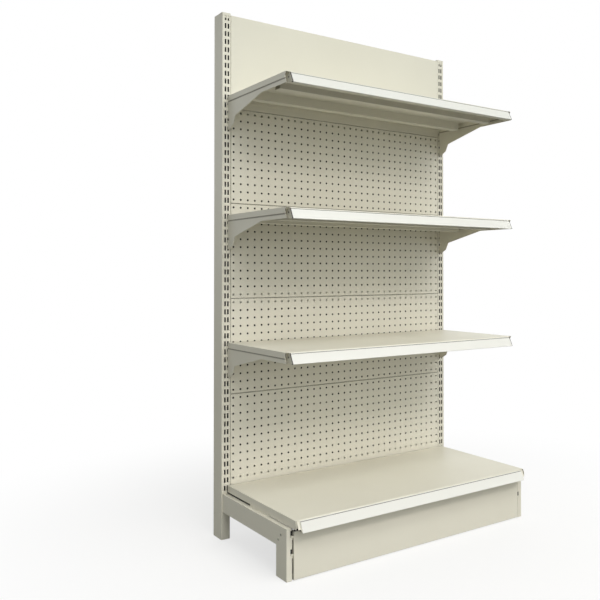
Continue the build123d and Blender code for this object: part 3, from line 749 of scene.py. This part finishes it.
def upright(node):
    """A slotted tube in the place of the CAD node."""
    low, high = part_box(node)
    half_width, half_depth = (high.x - low.x) / 2, (high.y - low.y) / 2
    height = high.z - low.z
    middle = (high + low) / 2
    bay_side = -1 if middle.x > 0 else 1
    columns_middle = bay_side * (inner_column - column_pitch / 2)
    sculpt = bmesh.new()
    for way, turn in ((1, facing_front), (-1, facing_rear)):
        face = punched(
            node + "_face", slot, slot_columns, column_pitch, slot_rows, slot_pitch,
            Width=2 * (half_width - corner_radius), Height=height, Sheet=wall,
            Grid_Shift=way * columns_middle,
            Grid_Lift=lowest_slot + (slot_rows - 1) * slot_pitch / 2 - middle.z)
        face.transform(Matrix.Translation((0, -way * half_depth, 0)) @ turn)
        sculpt.from_mesh(face)
    for side in (-1, 1):
        front = Vector((half_width - corner_radius, corner_radius - half_depth))
        rear = Vector((half_width - corner_radius, half_depth - corner_radius))
        for radius, winding in ((corner_radius, side), (corner_radius - wall, -side)):
            line = quarter(front, radius, -pi / 2) + quarter(rear, radius, 0)
            foot, head = [[sculpt.verts.new((side * p.x, p.y, z)) for p in line]
                          for z in (-height / 2, height / 2)]
            for i in range(len(line) - 1):
                quad = [foot[i], foot[i + 1], head[i + 1], head[i]]
                sculpt.faces.new(quad[::winding])
    bmesh.ops.remove_doubles(sculpt, verts=sculpt.verts, dist=touching)
    for end in (-height / 2, height / 2):
        ring = [edge for edge in sculpt.edges if edge.is_boundary
                and all(abs(v.co.z - end) < touching for v in edge.verts)]
        bmesh.ops.bridge_loops(sculpt, edges=ring)
    bmesh.ops.recalc_face_normals(sculpt, faces=sculpt.faces)
    print(node, "faces", len(sculpt.faces), "open edges", open_edges(sculpt))
    sculpt.transform(Matrix.Translation(middle))
    return settled(sculpt, node + "_tube")


for side in sides:
    node = f"{side}_upright"
    low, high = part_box(node)
    piece = upright(node)
    # near-black painted shade inside the tube, seen through its slots
    paint_hollow_shade(piece.data, lambda middle, normal: min(
        middle.x - low.x, high.x - middle.x, middle.y - low.y, high.y - middle.y) > 0.9 * wall)
    dress(piece, coat, node)

for helper in (*peg_hole, *slot):
    bpy.data.objects.remove(helper)

# %% [markdown]
# ## Plastic and zinc
# Three more finishes. The price strips are extruded: the die leaves fine lines along them,
# and they are the whitest and smoothest thing on the bay. The caps are moulded, with the
# fine matt grain of an etched mould. The levelling feet and their nut plates are zinc
# plated, which is a bright grey metal, a little blotchy from the bath.

# %% Plastic and zinc finishes
def grained(tree, surface, own, grains, depth, scale=(1, 1, 1)):
    """A bumpy grain on the surface, drawn out along an axis where scale is small."""
    drawn = add(tree, "ShaderNodeMapping", {"Vector": own, "Scale": scale}).outputs["Vector"]
    pattern = noise(tree, drawn, grains, 2.0)
    feed(surface, {"Normal": bumps(tree, pattern, 0.4, depth)})
    return pattern


def strip_finish(white, groove_shade_tone):
    """White extruded plastic, with painted shade at the bottom of its groove where an attribute is
    1.
    """
    material, tree, surface, own = finish("white_strip", {"Roughness": 0.36})
    grained(tree, surface, own, 700.0, 0.1 * mm, scale=(0.01, 1, 1))
    # painted shade: the groove's bottom is darker
    feed(surface, {"Base Color": mixed(tree, marked(tree, "groove_shade"), white, groove_shade_tone)})
    return material


def zinc_finish(dull, bright):
    """Zinc plate, blotchy in tone and sheen."""
    material, tree, surface, own = finish("zinc_plating", {"Metallic": 1.0})
    bath = grained(tree, surface, own, 90.0, 0.05 * mm)
    feed(surface, {"Base Color": mixed(tree, bath, dull, bright),
                   "Roughness": span(tree, bath, 0.26, 0.46)})
    return material


def matt_finish(name, colour, roughness, grains):
    """A matt plastic or rubber with a fine grain."""
    material, tree, surface, own = finish(name, {"Base Color": colour, "Roughness": roughness})
    grained(tree, surface, own, grains, 0.08 * mm)
    return material


white_strip = strip_finish((0.76, 0.76, 0.71, 1), (0.2, 0.19, 0.16, 1))
zinc = zinc_finish((0.52, 0.53, 0.55, 1), (0.70, 0.70, 0.69, 1))
cream_cap = matt_finish("cream_cap", (0.76, 0.74, 0.64, 1), 0.55, 1600.0)

# %% [markdown]
# ## Price strips
# A price strip is an extrusion, so it is one outline pushed along the shelf. The outline
# has what a die gives it for nothing: a bead along the top, a groove under the bead where
# labels are slid in, rounded lips, and a hook that snaps under the rail. The bottom of the
# groove is painted dark, as shade. A solid made from one outline closes up with a fan at
# each end.

# %% Price strips
strip_lean = radians(27)
down_nose = Vector((-sin(strip_lean), -cos(strip_lean)))     # in Y and Z
into_nose = Vector((cos(strip_lean), -sin(strip_lean)))
strip_wall = 1.4 * mm
strip_hook = 6.0 * mm
groove_top, groove_bottom = 1.5 * mm, 3.6 * mm
groove_depth, groove_slope = 0.8 * mm, 0.1 * mm
blunt = 0.3 * mm


def strip_outline(low, high):
    """(y, z, groove shade) points round a strip's section, from the back of its top edge; the third
    is 1 where the groove's bottom is painted dark, as shade.
    """
    head = Vector((high.y, high.z)) - into_nose * strip_wall
    head.y = high.z
    length = (head.x - low.y) / sin(strip_lean)
    face = [
        (0.0, strip_wall, 0), (0.0, blunt, 0), (blunt, 0.0, 0),
        (groove_top, 0.0, 0), (groove_top + groove_slope, groove_depth, 1),
        (groove_bottom - groove_slope, groove_depth, 1), (groove_bottom, 0.0, 0),
        (length - blunt, 0.0, 0), (length, blunt, 0),
    ]
    line = [(head + down_nose * along + into_nose * deep, groove_shade) for along, deep, groove_shade in face]
    heel = head + down_nose * length + into_nose * strip_wall
    rear = heel.x + strip_hook
    line += [(Vector((heel.x + blunt, low.z)), 0), (Vector((rear - blunt, low.z)), 0),
             (Vector((rear, low.z + blunt)), 0), (Vector((rear, low.z + strip_wall)), 0)]
    rise = (low.z + strip_wall - heel.y) / cos(strip_lean)
    line.append((heel - down_nose * rise, 0))
    return [(point.x, point.y, groove_shade) for point, groove_shade in line]


def pushed(name, outline, runs):
    """A piece made of the outline pushed along X from one end of each run to the other."""
    sculpt = bmesh.new()
    # 1 where the groove's bottom is painted dark, as shade
    groove_shade_layer = sculpt.verts.layers.float.new("groove_shade")
    for run in runs:
        rings = add_stack(sculpt, [[(x, y, z) for y, z, _ in outline] for x in run])
        for ring in rings:
            for corner, (_, _, groove_shade) in zip(ring, outline):
                corner[groove_shade_layer] = groove_shade
    bmesh.ops.recalc_face_normals(sculpt, faces=sculpt.faces)
    print(name, "open edges", open_edges(sculpt), "points", len(outline))
    return settled(sculpt, name)


for node in ["deck_price_strip"] + [f"shelf_price_strip_{number}" for number in shelves]:
    strip_low, strip_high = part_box(node)
    strip = pushed(node + "_extrusion", strip_outline(strip_low, strip_high),
                   [(strip_low.x, strip_high.x)])
    dress(strip, white_strip, node)

# %% [markdown]
# ## Caps and nut plates
# Both are plain enough to be copies of the CAD pieces. A moulded cap has soft edges all
# round; a nut plate is sheared from thick sheet, so its edges are nearly sharp.

# %% Caps and nut plates
small_round = 0.8 * mm
for side in sides:
    node = f"{side}_upright_cap"
    dress(folded(node, node + "_moulding", small_round), cream_cap, node)
    for end in ("rear", "front"):
        node = f"{side}_{end}_nut_plate"
        dress(folded(node, node + "_plate", small_round), zinc, node)

# %% [markdown]
# ## Levelling feet
# A levelling foot is turned on a lathe: a pad with round edges, a hexagon with the corners
# taken off by a cone, and a threaded stud. Every ring of the mesh lies at one height, with
# its radius either that of the lathe or that of the hexagon, whichever is less, so the one
# rule makes both the flats and the curves where the cone has cut them. The thread is drawn
# as rings and not as a helix: it is seen only through the gap under the bay.

# %% Levelling feet
ring_points = 48
hexagon_flats = 6
hexagon_height = 4.0 * mm
cone_height = 1.0 * mm
cone_share, root_share = 0.96, 0.85   # of half the hexagon's width, of the stud's radius


def flats_radius(across, angle):
    """Distance from the middle of a hexagon to its side, in that direction."""
    sector = 2 * pi / hexagon_flats
    return across / 2 / cos((angle + sector / 2) % sector - sector / 2)


def round_outline(radius, height, points, flats=None):
    """Points round the Z axis, cut back to a hexagon's sides where its width is given."""
    angles = [2 * pi * step / points for step in range(points)]
    spokes = [min(radius, flats_radius(flats, a)) if flats else radius for a in angles]
    return [(spoke * cos(a), spoke * sin(a), height) for spoke, a in zip(spokes, angles)]


def levelling_foot(node, pad_height, across, stud_radius, pitch):
    """A turned foot with a spanner hexagon and a threaded stud."""
    low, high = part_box(node)
    top = high.z - low.z
    pad_radius = (high.x - low.x) / 2
    hexagon_top = pad_height + hexagon_height
    corner = across / 2 / cos(pi / hexagon_flats)
    edge = small_round
    stations = [(pad_radius - edge, 0.0), (pad_radius, edge),
                (pad_radius, pad_height - edge), (pad_radius - edge, pad_height)]
    if corner < pad_radius - edge:
        stations += [(corner, pad_height, across)]
    stations += [(corner, hexagon_top - cone_height, across),
                 (across / 2 * cone_share, hexagon_top, across),
                 (stud_radius * root_share, hexagon_top)]
    root = stud_radius - 0.6 * pitch
    z = hexagon_top
    while z + pitch < top - pitch:
        stations += [(root, z + 0.1 * pitch), (stud_radius, z + 0.5 * pitch),
                     (stud_radius, z + 0.6 * pitch)]
        z += pitch
    stations += [(root, z + 0.1 * pitch), (stud_radius, top - pitch), (stud_radius - edge, top)]
    sculpt = bmesh.new()
    add_stack(sculpt, [round_outline(radius, height, ring_points, *flats)
                       for radius, height, *flats in stations])
    sculpt.transform(Matrix.Translation(((low.x + high.x) / 2, (low.y + high.y) / 2, low.z)))
    print(node, "rings", len(stations), "open edges", open_edges(sculpt))
    return settled(sculpt, node + "_foot")


foot_sizes = {                        # pad height, width across flats, stud radius, thread pitch
    "rear": (5.0 * mm, 17.0 * mm, 5.0 * mm, 1.5 * mm),
    "front": (4.0 * mm, 10.0 * mm, 4.0 * mm, 1.25 * mm),
}
for side in sides:
    for end, sizes in foot_sizes.items():
        node = f"{side}_{end}_leveller"
        dress(levelling_foot(node, *sizes), zinc, node)

# %% [markdown]
# ## Rivets and spot welds
# Both are small round marks in rows, so one tree sets them: it puts a copy of a stamp at
# every point it is given, turned so that the stamp's top faces the way that the point
# says. A rivet's stamp is a low dome with the hollow that a tubular rivet keeps in its
# middle; the hollow is painted near-black as shade, so it looks like a dark dot from afar.
# A spot weld's is a shallow crater with a rim, left by the electrodes that squeeze
# stiffener and sheet together.

# %% The stamping tree
stamp_tree, stamp_input = new_tree("stamped_points", Object=("Stamp",), Material=("Finish",))


def build_stamp_tree(tree):
    """A copy of the stamp at every point, facing along the point's 'facing' attribute."""
    given = add(tree, "NodeGroupInput").outputs
    facing = add(tree, "GeometryNodeInputNamedAttribute", {"Name": "facing"},
                 data_type="FLOAT_VECTOR")
    turn = add(tree, "FunctionNodeAlignRotationToVector", {
        "Vector": facing.outputs["Attribute"]}, axis="Z")
    stamps = copies(tree, given["Stamp"], given["Geometry"], Rotation=turn.outputs["Rotation"])
    end_tree(tree, stamps, given["Finish"])


build_stamp_tree(stamp_tree)
print("stamping tree", len(stamp_tree.nodes), "nodes")

# %% Stamps
def stamp(name, profile, points):
    """A round stamp turned from (radius, height) pairs, closed underneath."""
    sculpt = bmesh.new()
    add_stack(sculpt, [round_outline(radius, z, points) for radius, z in profile])
    mesh = baked(sculpt, name)
    mesh.polygons.foreach_set("use_smooth", [True] * len(mesh.polygons))
    return put(name, mesh)


def stamped(name, shape, places):
    """One piece with the stamp at every (place, facing) pair."""
    dots = bpy.data.meshes.new(name + "_dots")
    dots.from_pydata([place for place, _ in places], [], [])
    facing = dots.attributes.new("facing", "FLOAT_VECTOR", "POINT")
    facing.data.foreach_set("vector", [number for _, way in places for number in way])
    piece = put(name, grown(stamp_tree, stamp_input, name + "_dots", dots,
                            Stamp=shape, Finish=coat))
    print(name, "stamps", len(places), "faces", len(piece.data.polygons))
    return piece


# %% Rivets
rivet_radius = 4.5 * mm
rivet_rise = 1.6 * mm
rivet_low, rivet_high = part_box("base_rivets")
hollow_radius, hollow_foot = 3.0 * mm, -2.2 * mm
shank_radius, shank_foot = 3.4 * mm, -2.6 * mm
rivet_stamp = stamp("rivet", [
    (shank_radius, shank_foot), (shank_radius, 0.0),
    (rivet_radius * 0.96, 0.0), (rivet_radius, 0.15 * mm), (rivet_radius * 0.95, 0.7 * mm),
    (rivet_radius * 0.86, 1.2 * mm), (hollow_radius + 0.35 * mm, rivet_rise),
    (hollow_radius, rivet_rise - 0.3 * mm), (hollow_radius * 0.95, hollow_foot),
], 20)
# near-black painted shade in the rivet's hollow
paint_hollow_shade(rivet_stamp.data, lambda middle, normal: middle.xy.length < hollow_radius)
rivet_spots = [(rivet_low.y + rivet_radius, rivet_high.z - rivet_radius),
               (rivet_high.y - rivet_radius, rivet_low.z + rivet_radius)]
beam_outer = rivet_high.x - rivet_rise
rivets = stamped("rivet_heads", rivet_stamp, [
    ((side * beam_outer, y, z), (side, 0, 0)) for side in (-1, 1) for y, z in rivet_spots])
dress(rivets, coat, "base_rivets")

# %% Spot welds
weld_radius = 3.2 * mm
weld_pitch = 95 * mm
weld_stamp = stamp("weld", [
    (weld_radius, 0.0), (weld_radius * 0.92, 0.16 * mm), (weld_radius * 0.78, 0.18 * mm),
    (weld_radius * 0.6, 0.05 * mm), (weld_radius * 0.2, 0.03 * mm),
], 14)
weld_sink = 1.0 * mm                  # the stiffener's own sheet
flange_share = 0.11


def spot_welds(*nodes):
    """Spot welds along both flanges of each stiffener, which are all on one body."""
    body = body_of(nodes[0])
    places = []
    for node in nodes:
        low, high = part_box(node)
        flange = (high.y - low.y) * flange_share
        count = round((high.x - low.x) / weld_pitch)
        for y in (low.y + flange, high.y - flange):
            for i in range(count):
                x = low.x + (i + 0.5) * (high.x - low.x) / count
                places.append(((x, y, high.z - weld_sink), (0, 0, -1)))
    dress(stamped(f"{body}_spot_welds", weld_stamp, places), coat, body=body)


for number in shelves:
    spot_welds(f"shelf_front_stiffener_{number}", f"shelf_rear_stiffener_{number}")
spot_welds("deck_front_stiffener", "deck_rear_stiffener")
for helper in (rivet_stamp, weld_stamp):
    bpy.data.objects.remove(helper)

# %% [markdown]
# ## Black bars for the shade in gaps
# Where the removable pieces meet the frame, black bars stand in for the shade in the gaps:
# in the gap between each base beam and the deck's flange, round the rear corner up to the
# upright, inside the open corners of the deck's and the shelves' noses, behind the hole in
# each shelf's end plate, and inside each front foot, behind the slit at the end of the kick
# plate. From outside they are black lines and dots of painted shade. Each is a plain bar with
# soft edges and a rubber's matt grain, a little smaller than the gap it fills, and it is tied
# to the piece that it moves with. A thin black bar with the price strip's own outline closes
# each end of the strips on the shelves, and stands for a dark line of shade there.

# %% Black bars for shade
# black, for the bars that stand in for the shade in gaps
gap_shade_black = matt_finish("black_gap_shade", (0.022, 0.021, 0.02, 1), 0.7, 1200.0)


def gap_shade_bars(name, body, *bars):
    """Black bars for shade, between (near, far) in x, (low, high) in y and in z, at both ends of
    the bay.
    """
    sculpt = bmesh.new()
    for side in (-1, 1):
        for ends, (low_y, high_y), (low_z, high_z) in bars:
            low_x, high_x = sorted(side * x for x in ends)
            add_box(sculpt, (low_x, low_y, low_z), (high_x, high_y, high_z))
    weights = sculpt.edges.layers.float.new("bevel_weight_edge")
    for edge in sculpt.edges:
        edge[weights] = 1.0
    piece = settled(sculpt, name, bevel=blunt, steps=1)
    print(name, "bars", 2 * len(bars), "faces", len(piece.data.polygons))
    dress(piece, gap_shade_black, body=body)


def stretch(start, ends, way=1):
    """Both ends of a stretch, from distances to a start, along the axis or against it."""
    return sorted(start + way * end for end in ends)


# %% Shade bars under the deck
upright_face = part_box("right_upright")[0].y
deck_low, deck_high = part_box("base_deck")
foot_low, foot_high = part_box("right_base_foot")
top_sheet = 1.2 * mm                  # and the gap under it
side_sheet = 1.0 * mm
nose_drop = 31 * mm
nose_end = 441 * mm
nose_corner = deck_low.y + nose_drop * tan(strip_lean)
seat_from_upright = 158 * mm          # where the deck's flange begins to stand on the beam
flange_height = 14 * mm
shade_bar_width = 3.0 * mm
clearance = 0.3 * mm
nose_gap = 0.2 * mm                   # between the nose's end and the bar beside it
nose_shade_bar, nose_shade_bar_depth = (3.2 * mm, 8 * mm), 30 * mm     # behind its corner, below the top
flange_inside = deck_high.x - side_sheet
under_top = deck_high.z - top_sheet
flange_foot = deck_high.z - flange_height
shade_bar_x = (flange_inside - shade_bar_width, flange_inside)
shade_bar_rear = upright_face - 2 * clearance
gap_shade_bars(
    "deck_seals", body_of("base_deck"),
    (shade_bar_x, (upright_face - seat_from_upright + clearance, shade_bar_rear),
     (foot_high.z + clearance, flange_foot)),
    (shade_bar_x, (deck_high.y - shade_bar_width, shade_bar_rear), (flange_foot, under_top)),
    ((nose_end + nose_gap, flange_inside), stretch(nose_corner, nose_shade_bar),
     (deck_high.z - nose_shade_bar_depth, under_top)),
)

# %% Shade bars on the shelves
bracket_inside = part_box("right_shelf_bracket_1")[0].x
bracket_gap = 0.4 * mm
side_shade_bar, side_shade_bar_depth = (20 * mm, 26 * mm), 18 * mm     # behind the corner, below the top
hole_inwards = (1.2 * mm, 3.2 * mm)   # from the end of the nose
hole_across = (1.5 * mm, 10.5 * mm)   # behind the nose's corner
hole_down = (10 * mm, 19 * mm)        # from the shelf's top
stop_gap = 0.1 * mm
for number in shelves:
    node = f"shelf_pan_{number}"
    pan_low, pan_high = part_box(node)
    pan_corner = pan_low.y + nose_drop * tan(strip_lean)
    gap_shade_bars(
        f"shelf_seals_{number}", body_of(node),
        ((nose_end + nose_gap, bracket_inside - bracket_gap), stretch(pan_corner, side_shade_bar),
         (pan_high.z - side_shade_bar_depth, pan_high.z - top_sheet)),
        (stretch(nose_end, hole_inwards, -1), stretch(pan_corner, hole_across),
         stretch(pan_high.z, hole_down, -1)),
    )
    strip_low, strip_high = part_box(f"shelf_price_strip_{number}")
    # thin black bars at each strip's end, for the dark line of shade there
    strip_end_shades = pushed(f"shelf_strip_stops_{number}", strip_outline(strip_low, strip_high),
                   [(side * (strip_high.x + stop_gap), side * (nose_end - stop_gap))
                    for side in (-1, 1)])
    dress(strip_end_shades, gap_shade_black, body=body_of(node))

# %% Shade bars behind the kick plate
hook_reach = 9.2 * mm                 # of the kick plate's hooks, past its ends
kick_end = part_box("kick_plate")[1].x - hook_reach
foot_wall = 2.0 * mm
kick_shade_bar_depth = (4.2 * mm, 5.7 * mm)   # behind the foot's front
kick_shade_bar_low = 19 * mm
gap_shade_bars(
    "kick_buffers", body_of("left_base_foot"),
    ((kick_end + bracket_gap, foot_high.x - foot_wall), stretch(foot_low.y, kick_shade_bar_depth),
     (kick_shade_bar_low, foot_high.z - foot_wall)),
)

# %% [markdown]
# ## Corner tabs on the deck
# The deck's nose is shorter than the deck, and a small tab bent down from the top sheet
# closes most of each corner. It leans as the nose does, a sheet's thickness behind it, so
# that the corner reads as one face with a dark slit on its outside and a dark notch below.

# %% Corner tabs
tab_drop = 23 * mm
tab_starts = 1.5 * mm                 # below the deck's top
tab_width = 8 * mm
thick = into_nose * side_sheet
tab_head = Vector((nose_corner, deck_high.z)) + thick
tab_section = [tab_head + down_nose * tab_starts,
               tab_head + down_nose * tab_drop / cos(strip_lean)]
tab_section += [point + thick for point in reversed(tab_section)]
tab_inner = nose_end - side_sheet / 2
tabs = pushed("deck_corner_tabs", [(*point, 0) for point in tab_section],
              [(side * tab_inner, side * (tab_inner + tab_width)) for side in (-1, 1)])
dress(tabs, coat, body=body_of("base_deck"))

# %% Close
left_over = [name for name, holder in frame["nodes"].items() if not holder.hide_render]
print("CAD nodes still shown:", left_over)
